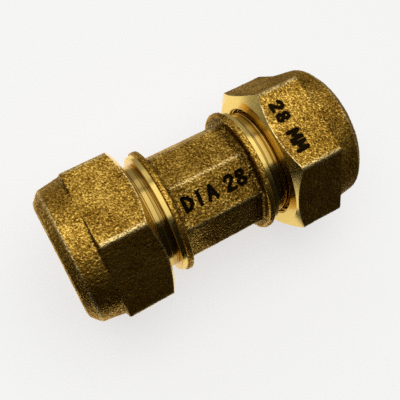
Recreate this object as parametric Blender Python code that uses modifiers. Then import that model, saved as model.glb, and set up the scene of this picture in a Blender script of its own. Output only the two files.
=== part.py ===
"""Straight compression coupling for 28.6 mm tube.

A cast body with a threaded socket at each end, and two coupling nuts. Each nut holds a bevelled
gasket with a garter spring in its heel, a slip washer and a split gripper band. The tube axis is X.
Every piece of one end is modelled upright, with +Z pointing outboard and its origin at the middle
of the fitting on the tube axis, and is then turned down onto +X or -X.
"""

import math

import bmesh
import bpy
from mathutils import Euler, Matrix

MM = 0.001

# The tube that the fitting joins, and the room it is given.
TUBE_RADIUS = 28.575 / 2 * MM
TUBE_PLAY = 0.25 * MM
GRIP_PLAY = 0.3 * MM
ENTRY_PLAY = 0.5 * MM
PIECE_GAP = 0.3 * MM

# Cast body.
BODY_HALF_LENGTH = 32 * MM
THREADED_END = 16.4 * MM
TUBE_STOP_STEP = 1.6 * MM
CASTING_WALL = 3.75 * MM
OCTAGON_TURN = math.radians(5.6)
FLANGE_RISE = 1.97 * MM
FLANGE_THICKNESS = 2.1 * MM
FLANGE_EDGE = 0.6 * MM
SHOULDER_RISE = 1.27 * MM
SHOULDER_LENGTH = 1.3 * MM
RELIEF_WIDTH = 0.9 * MM
RELIEF_DEPTH = 0.3 * MM
STOP_PAST_FLANGE = 2.5 * MM
SOCKET_WALL = 2.6 * MM
SEAT_WALL = 0.9 * MM
SEAT_ANGLE = math.radians(45)

# Thread, the same profile on body and nut.
THREAD_PITCH = 25.4 / 11.5 * MM
THREAD_DEPTH = 1.2 * MM
THREAD_CREST = THREAD_PITCH / 8
THREAD_FLANK = math.radians(30)
THREAD_PLAY = 0.3 * MM
THREAD_SINK = 0.25 * MM
RIDGE_WIDEST = 0.98
THREAD_RUN_OUT = 0.2 * MM
THREAD_LEAD = 0.6 * MM

# Coupling nut, and how far it still turns until its gasket seats.
NUT_ACROSS_FLATS = 46 * MM
NUT_CORNER_TRIM = 0.5 * MM
NUT_TURN = math.radians(7.4)
NUT_GAP = 4.7 * MM
CLOSING_TURNS = 1.7
HEX_LENGTH = 16.7 * MM
FACE_CIRCLE_TRIM = 0.6 * MM
FACE_CHAMFER_ANGLE = math.radians(31)
COLLAR_WALL = 4.56 * MM
END_LENGTH = 3 * MM
END_WALL = 2 * MM
LIP_LENGTH = 2.16 * MM
TAP_RELIEF = 2.5 * MM
RELIEF_PLAY = 0.15 * MM
CLOSED_PLAY = 0.6 * MM
ENTRY_CHAMFER = 1.3 * MM
GRIP_CONE_DROP = 1.6 * MM

# What the nut holds, from the gasket outwards.
GASKET_WALL = 2.6 * MM
GASKET_NOSE_WALL = 0.7 * MM
GASKET_HEEL_LENGTH = 2.7 * MM
SPRING_WIRE_RADIUS = 0.7 * MM
WASHER_THICKNESS = 1.2 * MM
GRIPPER_LENGTH = 4.6 * MM
GRIPPER_SPLIT = 2.6 * MM
TOOTH_COUNT = 4
TOOTH_DEPTH = 0.55 * MM
TOOTH_FACE = 0.3 * MM

# How finely round shapes are cut, and how far a cutter runs past what it cuts.
STEPS = 24
SPRING_SIDES = 6
ROLL_STEPS = 3
THREAD_PHASE = 0.37
MERGE = 1e-6
OVERSHOOT = 3 * MM

SIDES = (("left", -1), ("right", 1))

# Radii that follow from the sizes above.
SOCKET_RADIUS = TUBE_RADIUS + TUBE_PLAY
WATERWAY_RADIUS = TUBE_RADIUS - TUBE_STOP_STEP
OCTAGON_ACROSS_FLATS = 2 * (WATERWAY_RADIUS + CASTING_WALL)
THREAD_ROOT = SOCKET_RADIUS + SOCKET_WALL
THREAD_RADIUS = THREAD_ROOT + THREAD_DEPTH
SHOULDER_RADIUS = THREAD_RADIUS + SHOULDER_RISE
FLANGE_RADIUS = THREAD_RADIUS + FLANGE_RISE
SEAT_RADIUS = THREAD_ROOT - SEAT_WALL
TAP_FLANK = (RIDGE_WIDEST * THREAD_PITCH - THREAD_CREST) / 2 / math.tan(THREAD_FLANK)
TAP_FLANK -= THREAD_PLAY / math.sin(THREAD_FLANK) - THREAD_PLAY
TAP_RADIUS = max(THREAD_ROOT + THREAD_PLAY, THREAD_RADIUS + THREAD_PLAY - TAP_FLANK)
RELIEF_RADIUS = THREAD_RADIUS + THREAD_PLAY + RELIEF_PLAY
GASKET_BORE = TUBE_RADIUS + TUBE_PLAY
GASKET_RADIUS = GASKET_BORE + GASKET_WALL
CHAMBER_RADIUS = GASKET_RADIUS + PIECE_GAP
COLLAR_RADIUS = CHAMBER_RADIUS + COLLAR_WALL
LIP_RADIUS = TUBE_RADIUS + ENTRY_PLAY
END_FACE_RADIUS = LIP_RADIUS + END_WALL

# Places along +Z that follow, first on the body and then on the nut at rest.
FLANGE_START = BODY_HALF_LENGTH - THREADED_END - FLANGE_THICKNESS
FLANGE_END = FLANGE_START + FLANGE_THICKNESS
TUBE_STOP = FLANGE_START + STOP_PAST_FLANGE
SHOULDER_END = FLANGE_END + SHOULDER_LENGTH
THREAD_START = SHOULDER_END + RELIEF_WIDTH
SEAT_START = BODY_HALF_LENGTH - (SEAT_RADIUS - SOCKET_RADIUS) / math.tan(SEAT_ANGLE)
CLOSING_TRAVEL = CLOSING_TURNS * THREAD_PITCH
NUT_FACE = SHOULDER_END + NUT_GAP
HEX_END = NUT_FACE + HEX_LENGTH
CHAMBER_START = BODY_HALF_LENGTH + CLOSING_TRAVEL + CLOSED_PLAY
TAP_END = CHAMBER_START - TAP_RELIEF
SEATED_BEVEL = BODY_HALF_LENGTH + (GASKET_RADIUS - SEAT_RADIUS) / math.tan(SEAT_ANGLE)
BEVEL_END = SEATED_BEVEL + PIECE_GAP / math.sin(SEAT_ANGLE) + CLOSING_TRAVEL
GASKET_END = BEVEL_END + GASKET_HEEL_LENGTH
WASHER_START = GASKET_END + PIECE_GAP
WASHER_END = WASHER_START + WASHER_THICKNESS
GRIPPER_START = WASHER_END + PIECE_GAP
GRIPPER_END = GRIPPER_START + GRIPPER_LENGTH
LIP_START = GRIPPER_END + PIECE_GAP
NUT_END = LIP_START + LIP_LENGTH
COLLAR_END = NUT_END - END_LENGTH


def principled(name, colour, metallic, roughness):
    """A material of one colour."""
    material = bpy.data.materials.new(name)
    material.use_nodes = True
    shader = material.node_tree.nodes["Principled BSDF"]
    shader.inputs["Base Color"].default_value = (*colour, 1.0)
    shader.inputs["Metallic"].default_value = metallic
    shader.inputs["Roughness"].default_value = roughness
    material.diffuse_color = (*colour, 1.0)
    return material


def new_object(name, mesh, end, collection):
    """Links a mesh whose +Z points outboard as an object on the end +1 or -1."""
    obj = bpy.data.objects.new(name, mesh)
    collection.objects.link(obj)
    obj.rotation_euler = Euler((0, end * math.radians(90), 0))
    return obj


def helper(obj):
    """Marks an object as a cutter or a blank, which isn't part of the fitting."""
    obj.hide_render = True
    obj.display_type = "WIRE"
    return obj


def combine(obj, other, operation):
    """Adds a live Boolean that joins, cuts or trims obj with a helper."""
    modifier = obj.modifiers.new(f"{operation.lower()}_{other.name}", "BOOLEAN")
    modifier.operation = operation
    modifier.object = other
    modifier.solver = "EXACT"


def outline_mesh(name, outline, start=0.0):
    """The outline of a turned shape, at an angle from +X, running down its outer side.

    An outline that starts and ends on the axis stays open there.
    """
    after = outline[1:] + outline[:1]
    area = sum(a[0] * b[1] - b[0] * a[1] for a, b in zip(outline, after))
    points = outline[::-1] if area > 0 else outline
    edges = [(i, i + 1) for i in range(len(points) - 1)]
    if points[0][0] > 0 or points[-1][0] > 0:
        edges.append((len(points) - 1, 0))
    mesh = bpy.data.meshes.new(name)
    side = (math.cos(start), math.sin(start))
    mesh.from_pydata([(r * side[0], r * side[1], height) for r, height in points], edges, [])
    return mesh


def turned(name, outline, end, collection, start=0.0):
    """A solid of revolution about Z from an outline of (radius, height) points."""
    obj = new_object(name, outline_mesh(name, outline, start), end, collection)
    screw = obj.modifiers.new("turn", "SCREW")
    screw.axis = "Z"
    screw.steps = screw.render_steps = STEPS
    screw.use_merge_vertices = True
    screw.merge_threshold = MERGE
    screw.use_smooth_shade = False
    return obj


def prism(name, sides, across_flats, low, high, turn, end, collection):
    """A regular prism about Z, with a corner turned from +X by the given angle."""
    radius = across_flats / 2 / math.cos(math.pi / sides)
    place = Matrix.Translation((0, 0, (low + high) / 2))
    first_corner = math.radians(90)
    shape = bmesh.new()
    bmesh.ops.create_cone(
        shape,
        cap_ends=True,
        segments=sides,
        radius1=radius,
        radius2=radius,
        depth=high - low,
        matrix=place @ Matrix.Rotation(turn - first_corner, 4, "Z"),
    )
    mesh = bpy.data.meshes.new(name)
    shape.to_mesh(mesh)
    shape.free()
    return new_object(name, mesh, end, collection)


def thread_ridge(name, low, high, play, end, collection):
    """The helical ridge of the thread from about low to high, grown by a play on each face.

    Every ridge lies on the same helix, so a nut that is cut with one runs on a body that carries
    another. Its root is sunk below the root circle, so that it joins the core. Its sides stop
    spreading where they would reach the next turn, and run straight in from there.
    """
    crest = THREAD_RADIUS + play
    root = THREAD_ROOT - THREAD_SINK
    flank = math.tan(THREAD_FLANK)
    crest_half = THREAD_CREST / 2 + play / math.cos(THREAD_FLANK) - play * flank
    widest_half = RIDGE_WIDEST * THREAD_PITCH / 2
    foot = crest - (widest_half - crest_half) / flank
    foot_half = min(widest_half, crest_half + (crest - root) * flank)
    base = THREAD_START + THREAD_PITCH * math.floor((low - THREAD_START) / THREAD_PITCH)
    turns = math.ceil((high - base) / THREAD_PITCH)
    outline = [
        (crest, base - crest_half),
        (root, base - foot_half),
        (root, base + foot_half),
        (crest, base + crest_half),
    ]
    if foot > root:
        outline.insert(1, (foot, base - foot_half))
        outline.insert(4, (foot, base + foot_half))
    outline.reverse()
    obj = new_object(name, outline_mesh(name, outline), end, collection)
    screw = obj.modifiers.new("helix", "SCREW")
    screw.axis = "Z"
    screw.angle = 2 * math.pi * turns
    screw.screw_offset = THREAD_PITCH * turns
    screw.steps = screw.render_steps = STEPS * turns
    screw.use_merge_vertices = False
    screw.use_smooth_shade = False
    bpy.context.view_layer.update()
    mesh = bpy.data.meshes.new_from_object(obj.evaluated_get(bpy.context.evaluated_depsgraph_get()))
    obj.modifiers.clear()
    between = Matrix.Rotation(THREAD_PHASE * 2 * math.pi / STEPS, 4, "Z")
    mesh.transform(Matrix.Translation((0, 0, THREAD_PHASE * THREAD_PITCH / STEPS)) @ between)
    shape = bmesh.new()
    shape.from_mesh(mesh)
    open_ends = [edge for edge in shape.edges if edge.is_boundary]
    bmesh.ops.holes_fill(shape, edges=open_ends, sides=len(outline))
    bmesh.ops.recalc_face_normals(shape, faces=shape.faces)
    shape.to_mesh(mesh)
    shape.free()
    obj.data = mesh
    return obj


def body_end_outline():
    """The turned outside of one end: flange, machined shoulder, relief groove and thread core."""
    relief = THREAD_ROOT - RELIEF_DEPTH
    return [
        (0, FLANGE_START),
        (FLANGE_RADIUS - FLANGE_EDGE, FLANGE_START),
        (FLANGE_RADIUS, FLANGE_START + FLANGE_EDGE),
        (FLANGE_RADIUS, FLANGE_END - FLANGE_EDGE),
        (SHOULDER_RADIUS, FLANGE_END),
        (SHOULDER_RADIUS, SHOULDER_END),
        (relief, SHOULDER_END),
        (relief, THREAD_START - RELIEF_DEPTH),
        (THREAD_ROOT, THREAD_START),
        (THREAD_ROOT, BODY_HALF_LENGTH),
        (0, BODY_HALF_LENGTH),
    ]


def male_thread_envelope():
    """What the body's ridge is trimmed to: a chamfer at the relief groove and one at the mouth."""
    inner = THREAD_ROOT - 2 * THREAD_SINK
    outer = THREAD_RADIUS + THREAD_PLAY
    first = THREAD_START + THREAD_RUN_OUT
    last = BODY_HALF_LENGTH - THREAD_LEAD
    return [
        (inner, first - (THREAD_ROOT - inner)),
        (outer, first + (outer - THREAD_ROOT)),
        (outer, last - (outer - THREAD_ROOT)),
        (inner, last + (THREAD_ROOT - inner)),
    ]


def body_bore_outline():
    """The waterway, both tube sockets with their tube stops, and both gasket seats."""
    past = BODY_HALF_LENGTH + OVERSHOOT
    flare = SEAT_RADIUS + OVERSHOOT * math.tan(SEAT_ANGLE)
    half = [
        (WATERWAY_RADIUS, TUBE_STOP),
        (SOCKET_RADIUS, TUBE_STOP),
        (SOCKET_RADIUS, SEAT_START),
        (flare, past),
        (0, past),
    ]
    return [(radius, -height) for radius, height in half[::-1]] + half


def make_body(parts, helpers, material):
    """The cast body: an octagonal middle with a turned and threaded end on each side."""
    reach = FLANGE_START + FLANGE_THICKNESS / 2
    body = prism("fitting_body", 8, OCTAGON_ACROSS_FLATS, -reach, reach, OCTAGON_TURN, 1, parts)
    body.data.materials.append(material)
    for side, end in SIDES:
        blank = helper(turned(f"{side}_end_blank", body_end_outline(), end, helpers))
        combine(body, blank, "UNION")
    for side, end in SIDES:
        past = BODY_HALF_LENGTH + THREAD_PITCH
        name = f"{side}_male_ridge"
        ridge = helper(thread_ridge(name, FLANGE_END, past, 0, end, helpers))
        half_step = math.pi / STEPS
        trim = turned(f"{name}_envelope", male_thread_envelope(), end, helpers, half_step)
        combine(ridge, helper(trim), "INTERSECT")
        combine(body, ridge, "UNION")
    combine(body, helper(turned("bore", body_bore_outline(), 1, helpers)), "DIFFERENCE")
    return body


def nut_envelope_outline():
    """What the hexagon is trimmed to: the machined cone on its inboard face, and its corners."""
    apothem = NUT_ACROSS_FLATS / 2
    corner = apothem / math.cos(math.pi / 6) - NUT_CORNER_TRIM
    face_circle = apothem - FACE_CIRCLE_TRIM
    return [
        (0, NUT_FACE),
        (face_circle, NUT_FACE),
        (corner, NUT_FACE + (corner - face_circle) * math.tan(FACE_CHAMFER_ANGLE)),
        (corner, HEX_END + OVERSHOOT),
        (0, HEX_END + OVERSHOOT),
    ]


def nut_collar_outline():
    """The round collar, which starts inside the hexagon and rolls over to the end face."""
    drop = COLLAR_RADIUS - END_FACE_RADIUS
    roll = []
    for step in range(ROLL_STEPS + 1):
        angle = math.radians(90) * step / ROLL_STEPS
        height = COLLAR_END + END_LENGTH * math.sin(angle)
        roll.append((END_FACE_RADIUS + drop * math.cos(angle), height))
    return [(0, HEX_END - OVERSHOOT), (COLLAR_RADIUS, HEX_END - OVERSHOOT), *roll, (0, NUT_END)]


def nut_bore_outline():
    """The inside of the nut: tapping hole, relief, gasket chamber, gripper cone and lip."""
    return [
        (0, NUT_FACE - OVERSHOOT),
        (TAP_RADIUS + ENTRY_CHAMFER + OVERSHOOT, NUT_FACE - OVERSHOOT),
        (TAP_RADIUS, NUT_FACE + ENTRY_CHAMFER),
        (TAP_RADIUS, TAP_END),
        (RELIEF_RADIUS, TAP_END),
        (RELIEF_RADIUS, CHAMBER_START),
        (CHAMBER_RADIUS, CHAMBER_START),
        (CHAMBER_RADIUS, GRIPPER_START),
        (CHAMBER_RADIUS - GRIP_CONE_DROP, LIP_START),
        (LIP_RADIUS, LIP_START),
        (LIP_RADIUS, NUT_END - ENTRY_PLAY),
        (LIP_RADIUS + ENTRY_PLAY + OVERSHOOT, NUT_END + OVERSHOOT),
        (0, NUT_END + OVERSHOOT),
    ]


def make_nut(side, end, parts, helpers, material):
    """A coupling nut: a chamfered hexagon with a round collar, bored and tapped."""
    name = f"{side}_coupling_nut"
    turn = math.radians(30) + NUT_TURN
    low = NUT_FACE - OVERSHOOT
    nut = prism(name, 6, NUT_ACROSS_FLATS, low, HEX_END, turn, end, parts)
    nut.data.materials.append(material)
    shapes = (
        ("envelope", nut_envelope_outline(), "INTERSECT"),
        ("collar", nut_collar_outline(), "UNION"),
        ("bore", nut_bore_outline(), "DIFFERENCE"),
    )
    for kind, outline, operation in shapes:
        shape = helper(turned(f"{side}_nut_{kind}", outline, end, helpers))
        combine(nut, shape, operation)
    start = NUT_FACE - THREAD_PITCH
    tap = thread_ridge(f"{side}_tap", start, TAP_END, THREAD_PLAY, end, helpers)
    combine(nut, helper(tap), "DIFFERENCE")
    return nut


def make_gasket(side, end, parts, material):
    """The rubber gasket: a bevel that enters the body's seat, and a heel notched for the spring."""
    nose = GASKET_BORE + GASKET_NOSE_WALL
    nose_end = BEVEL_END - (GASKET_RADIUS - nose) / math.tan(SEAT_ANGLE)
    notch = 2 * SPRING_WIRE_RADIUS + 2 * PIECE_GAP
    outline = [
        (GASKET_BORE, nose_end),
        (nose, nose_end),
        (GASKET_RADIUS, BEVEL_END),
        (GASKET_RADIUS, GASKET_END),
        (GASKET_BORE + notch, GASKET_END),
        (GASKET_BORE + notch, GASKET_END - notch),
        (GASKET_BORE, GASKET_END - notch),
    ]
    gasket = turned(f"{side}_gasket", outline, end, parts)
    gasket.data.materials.append(material)
    return gasket


def make_spring(side, end, parts, material):
    """The garter spring in the gasket's heel, as a ring of the coil's outer shape."""
    bpy.ops.mesh.primitive_torus_add(
        major_segments=STEPS,
        minor_segments=SPRING_SIDES,
        major_radius=GASKET_BORE + PIECE_GAP + SPRING_WIRE_RADIUS,
        minor_radius=SPRING_WIRE_RADIUS,
    )
    made = bpy.context.object
    mesh = made.data
    bpy.data.objects.remove(made)
    mesh.transform(Matrix.Translation((0, 0, GASKET_END - PIECE_GAP - SPRING_WIRE_RADIUS)))
    mesh.materials.append(material)
    return new_object(f"{side}_garter_spring", mesh, end, parts)


def make_washer(side, end, parts, material):
    """The slip washer, on which the nut turns without twisting the gasket."""
    inner = TUBE_RADIUS + GRIP_PLAY
    outer = CHAMBER_RADIUS - PIECE_GAP
    outline = [
        (inner, WASHER_START),
        (outer, WASHER_START),
        (outer, WASHER_END),
        (inner, WASHER_END),
    ]
    washer = turned(f"{side}_slip_washer", outline, end, parts)
    washer.data.materials.append(material)
    return washer


def make_gripper(side, end, parts, helpers, material):
    """The split gripper band: a tapered ring with sawteeth inside and a gap across it."""
    slope = GRIP_CONE_DROP / (LIP_START - GRIPPER_START)
    inner = TUBE_RADIUS + GRIP_PLAY
    outer = CHAMBER_RADIUS - PIECE_GAP
    teeth = []
    for index in range(TOOTH_COUNT):
        low = GRIPPER_START + index * GRIPPER_LENGTH / TOOTH_COUNT
        teeth += [(inner, low), (inner + TOOTH_DEPTH, low + TOOTH_FACE)]
    outline = teeth + [
        (inner, GRIPPER_END),
        (outer - slope * GRIPPER_LENGTH, GRIPPER_END),
        (outer, GRIPPER_START),
    ]
    gripper = turned(f"{side}_gripper_band", outline, end, parts)
    gripper.data.materials.append(material)
    bpy.ops.mesh.primitive_cube_add(size=1)
    made = bpy.context.object
    mesh = made.data
    mesh.name = f"{side}_gripper_slot"
    bpy.data.objects.remove(made)
    centre = (outer, 0, (GRIPPER_START + GRIPPER_END) / 2)
    size = Matrix.Diagonal((2 * (outer - inner) + OVERSHOOT, GRIPPER_SPLIT, 2 * GRIPPER_LENGTH, 1))
    mesh.transform(Matrix.Translation(centre) @ size)
    combine(gripper, helper(new_object(mesh.name, mesh, end, helpers)), "DIFFERENCE")
    return gripper


def empty(name, collection, parent=None):
    """A frame on the tube axis at the middle of the fitting, which a group of pieces moves with."""
    obj = bpy.data.objects.new(name, None)
    collection.objects.link(obj)
    obj.parent = parent
    return obj


def main():
    for obj in list(bpy.data.objects):
        bpy.data.objects.remove(obj)
    parts = bpy.data.collections.new("compression_coupling")
    helpers = bpy.data.collections.new("cutters")
    for collection in (parts, helpers):
        bpy.context.scene.collection.children.link(collection)

    cast = principled("cast_brass", (0.46, 0.30, 0.09), 1.0, 0.55)
    rubber = principled("gasket_rubber", (0.02, 0.02, 0.02), 0.0, 0.7)
    bronze = principled("spring_bronze", (0.55, 0.32, 0.14), 1.0, 0.3)
    brass = principled("washer_brass", (0.75, 0.55, 0.20), 1.0, 0.3)
    steel = principled("gripper_steel", (0.60, 0.60, 0.62), 1.0, 0.3)

    fitting = empty("fitting", parts)
    make_body(parts, helpers, cast).parent = fitting
    for side, end in SIDES:
        held_pieces = empty(f"{side}_held_pieces", parts, fitting)
        make_gasket(side, end, parts, rubber).parent = held_pieces
        make_spring(side, end, parts, bronze).parent = held_pieces
        make_washer(side, end, parts, brass).parent = held_pieces
        make_gripper(side, end, parts, helpers, steel).parent = held_pieces
        nut_turn = empty(f"{side}_nut_turn", parts, held_pieces)
        make_nut(side, end, parts, helpers, cast).parent = nut_turn


main()
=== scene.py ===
# %% [markdown]
# # A brass compression coupling
#
# This coupling joins two water tubes end to end. It is a sand-cast brass body with a thread at each
# end, and two hexagonal nuts. Each nut squeezes a rubber gasket onto the tube and closes a toothed
# band that grips it. The script builds what the eye sees around a fixed frame, which holds every
# piece's place and every joint. Lengths are in metres, and the tube's axis is X.

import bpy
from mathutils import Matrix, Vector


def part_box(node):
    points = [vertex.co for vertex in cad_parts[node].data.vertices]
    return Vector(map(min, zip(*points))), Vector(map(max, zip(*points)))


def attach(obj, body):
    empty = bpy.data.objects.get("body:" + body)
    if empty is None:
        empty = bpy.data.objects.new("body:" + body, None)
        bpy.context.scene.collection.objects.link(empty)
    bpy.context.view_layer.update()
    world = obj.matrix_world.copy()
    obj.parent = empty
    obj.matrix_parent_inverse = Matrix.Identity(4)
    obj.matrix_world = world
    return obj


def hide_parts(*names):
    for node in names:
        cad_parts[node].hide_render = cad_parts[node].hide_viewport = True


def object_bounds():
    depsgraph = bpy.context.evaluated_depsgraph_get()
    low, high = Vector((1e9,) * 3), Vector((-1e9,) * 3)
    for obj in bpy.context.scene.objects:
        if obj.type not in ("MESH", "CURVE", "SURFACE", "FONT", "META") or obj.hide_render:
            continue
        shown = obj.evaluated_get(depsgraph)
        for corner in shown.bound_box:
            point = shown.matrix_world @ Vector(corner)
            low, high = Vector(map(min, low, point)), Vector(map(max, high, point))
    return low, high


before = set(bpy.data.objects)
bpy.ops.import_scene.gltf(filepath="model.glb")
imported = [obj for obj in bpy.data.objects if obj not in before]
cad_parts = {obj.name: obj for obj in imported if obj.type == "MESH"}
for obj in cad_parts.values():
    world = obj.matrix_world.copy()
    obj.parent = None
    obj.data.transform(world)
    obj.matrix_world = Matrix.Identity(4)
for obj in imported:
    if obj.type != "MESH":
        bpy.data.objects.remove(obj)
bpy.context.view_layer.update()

# %% [markdown]
# ## The places that the frame gives
#
# The frame holds a plain solid for every piece. Each piece made here is fitted to its solid's box, so
# it can't drift from where the joints turn it. Both ends of the coupling are alike, so only the right
# one is measured and drawn, and the left one is the same shape turned half a turn about Z.

# %% Modules and the places that the frame gives
import math

import bmesh
import bpy
import numpy as np
from mathutils import Matrix, Vector

MM = 0.001
SIDES = (("left", -1), ("right", 1))

nut_low, nut_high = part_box("right_coupling_nut")
_, body_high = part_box("fitting_body")
gasket_low, gasket_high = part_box("right_gasket")
washer_low, washer_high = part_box("right_slip_washer")
gripper_low, gripper_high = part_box("right_gripper_band")

NUT_FACE, NUT_END = nut_low.x, nut_high.x
BODY_END = body_high.x
FLANGE_RADIUS = body_high.y
HELD_RADIUS = washer_high.y
print("nut runs from", round(NUT_FACE / MM, 2), "to", round(NUT_END / MM, 2), "mm")

# %% [markdown]
# ## Sizes
#
# A turned part is drawn as half of its section, so most sizes here are radii and places along the
# axis. The flange, shoulder, thread core and tube socket belong to the body. The hexagon, its
# machined cone and the round collar belong to the nut. Both share the thread.

# %% Sizes of the body, the thread and the nut
TUBE_RADIUS = 14.2875 * MM
SOCKET_RADIUS = TUBE_RADIUS + 0.25 * MM
GRIP_RADIUS = TUBE_RADIUS + 0.3 * MM
WATERWAY_RADIUS = 12.7 * MM
OCTAGON_FLAT = 16.44 * MM
OCTAGON_TURN = math.radians(5.6)
FLANGE_START, FLANGE_END = 13.5 * MM, 15.6 * MM
SHOULDER_RADIUS, SHOULDER_END = 19.6 * MM, 17.2 * MM
TUBE_STOP = 16 * MM
SEAT_RADIUS = 16.24 * MM

THREAD_PITCH = 25.4 / 11.5 * MM
THREAD_CORE = 17.14 * MM
THREAD_CREST = 18.33 * MM
THREAD_START = 17.8 * MM
NUT_CORE = 18.64 * MM
NUT_CREST = 17.44 * MM

HEX_FLAT = 23 * MM
HEX_TURN = math.radians(7.4)
HEX_END = 38.3 * MM
FACE_RADIUS = 22.4 * MM
FACE_CONE = math.radians(31)
COLLAR_START_RADIUS = 22.95 * MM
COLLAR_END_RADIUS = 22 * MM
COLLAR_END = 45.7 * MM
END_CONE_RADIUS = 19 * MM
END_CONE_END = 48.3 * MM
LIP_RADIUS = 14.79 * MM
LIP_START = 46.48 * MM
CHAMBER_RADIUS = 17.44 * MM
CHAMBER_START = 36.35 * MM
RELIEF_RADIUS = 18.78 * MM
TAP_END = 33.85 * MM
CONE_START = 41.58 * MM
CONE_RADIUS = 15.84 * MM
print("thread pitch is", round(THREAD_PITCH / MM, 3), "mm")

# %% [markdown]
# ## A shell wound round the axis
#
# A nut is almost a turned part, but its outline changes as you go round it: six flats outside, a
# round bore inside. Modelling a hexagon and cutting it with Booleans gives long thin faces, which
# show as flaws once the surface is roughened. Instead the surface is laid as a grid: each ring of the
# grid is one station along the section, and its radius may be an array, one value for each column
# round the axis. The last ring joins the first, so the shell is closed, and every face is a small
# quad that can carry the grain of a casting.


# %% The ring grid
def new_object(name, data):
    """Puts a mesh, a light or a camera into the scene."""
    obj = bpy.data.objects.new(name, data)
    bpy.context.collection.objects.link(obj)
    return obj


def ring_grid(rings, columns):
    """The points and quads of a closed shell. A ring is (x, radius, machined), and either of the
    first two may be an array over the columns. Machined tells how the face before the ring is made."""
    turn = np.arange(columns) * 2 * math.pi / columns
    points = np.empty((len(rings), columns, 3))
    for place, (x, radius, _) in enumerate(rings):
        points[place, :, 0] = x
        points[place, :, 1] = radius * np.cos(turn)
        points[place, :, 2] = radius * np.sin(turn)
    index = np.arange(len(rings) * columns).reshape(len(rings), columns)
    after = np.roll(index, -1, axis=0)
    beside, beyond = np.roll(index, -1, axis=1), np.roll(after, -1, axis=1)
    quads = np.stack([index, beside, beyond, after], axis=2)
    return points.reshape(-1, 3), quads.reshape(-1, 4)


def shell_object(name, rings, columns, end=1):
    """A shell as an object. The end -1 turns it half a turn about Z, onto the left of the fitting."""
    points, quads = ring_grid(rings, columns)
    mesh = bpy.data.meshes.new(name)
    mesh.from_pydata((points * (end, end, 1)).tolist(), [], quads.tolist())
    before = np.array([ring[2] for ring in rings], float)
    after = np.roll(before, -1)
    faces = mesh.attributes.new("machined", "BOOLEAN", "FACE")
    faces.data.foreach_set("value", np.repeat(after > 0, columns))
    cast = mesh.attributes.new("cast", "FLOAT", "POINT")
    cast.data.foreach_set("value", np.repeat((1 - before) * (1 - after), columns))
    return new_object(name, mesh)


def read_points(obj):
    """An object's points as rows of x, y and z."""
    points = np.empty(len(obj.data.vertices) * 3)
    obj.data.vertices.foreach_get("co", points)
    return points.reshape(-1, 3)


def paint(obj, name, values):
    """Keeps one value for each point under a name that the material can read."""
    attribute = obj.data.attributes.new(name, "FLOAT", "POINT")
    attribute.data.foreach_set("value", np.ascontiguousarray(values, dtype=np.float32))


# %% [markdown]
# ## Sections with rounded corners
#
# No real edge is perfectly sharp. A small round on every corner of the section catches a thin line
# of light, and that line is what tells the eye that a face was cut on a lathe. A section is written as
# its corners, each with its own rounding, and the helper adds the arcs and as many rings between
# them as the finish needs: many on a casting, few on a machined face.


# %% Rounded sections
ARC_RINGS = 3


def section(corners, step, machined, skip_first=False):
    """Rings along a line of (x, radius, rounding) corners, no further apart than a step."""
    line = []
    for place, (x, radius, rounding) in enumerate(corners):
        here = Vector((x, radius))
        if rounding == 0 or place in (0, len(corners) - 1):
            line.append(here)
            continue
        back = (Vector(corners[place - 1][:2]) - here).normalized()
        on = (Vector(corners[place + 1][:2]) - here).normalized()
        half = back.angle(on) / 2
        reach = rounding / math.tan(half)
        centre = here + (back + on).normalized() * rounding / math.sin(half)
        first, last = here + back * reach - centre, here + on * reach - centre
        for part in range(ARC_RINGS + 1):
            spoke = first.lerp(last, part / ARC_RINGS).normalized() * rounding
            line.append(centre + spoke)
    rings = [] if skip_first else [(*line[0], machined)]
    for start, stop in zip(line, line[1:]):
        count = max(1, math.ceil((stop - start).length / step))
        for part in range(1, count + 1):
            rings.append((*start.lerp(stop, part / count), machined))
    return rings


# %% [markdown]
# ## Hexagon and octagon
#
# A plain polygon has corners like knives, and a bevel would need to know where each one is. A casting's
# corners are soft, so the radius in each direction is a power mean of the flats. It leaves the flats
# true and rounds the corners, and a higher power rounds them less. The octagon's are the crisper ones.


# %% A rounded polygon's radius
def polygon_radius(turn, sides, flat, first_corner, crispness):
    """The radius of a regular polygon in each direction. The flats are blended by a power mean,
    which rounds the corners and leaves the flats true."""
    total = np.zeros_like(turn)
    for side in range(sides):
        normal = first_corner + (side + 0.5) * 2 * math.pi / sides
        total += np.maximum(np.cos(turn - normal), 0) ** crispness
    return flat / total ** (1 / crispness)


HEX_CRISPNESS, OCTAGON_CRISPNESS = 60, 120
NUT_COLUMNS, BODY_COLUMNS = 560, 376
nut_turn = np.arange(NUT_COLUMNS) * 2 * math.pi / NUT_COLUMNS
body_turn = np.arange(BODY_COLUMNS) * 2 * math.pi / BODY_COLUMNS
hexagon = polygon_radius(nut_turn, 6, HEX_FLAT, HEX_TURN, HEX_CRISPNESS)
octagon = polygon_radius(body_turn, 8, OCTAGON_FLAT, OCTAGON_TURN, OCTAGON_CRISPNESS)
print("hexagon corners at", round(hexagon.max() / MM, 2), "mm")
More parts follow.
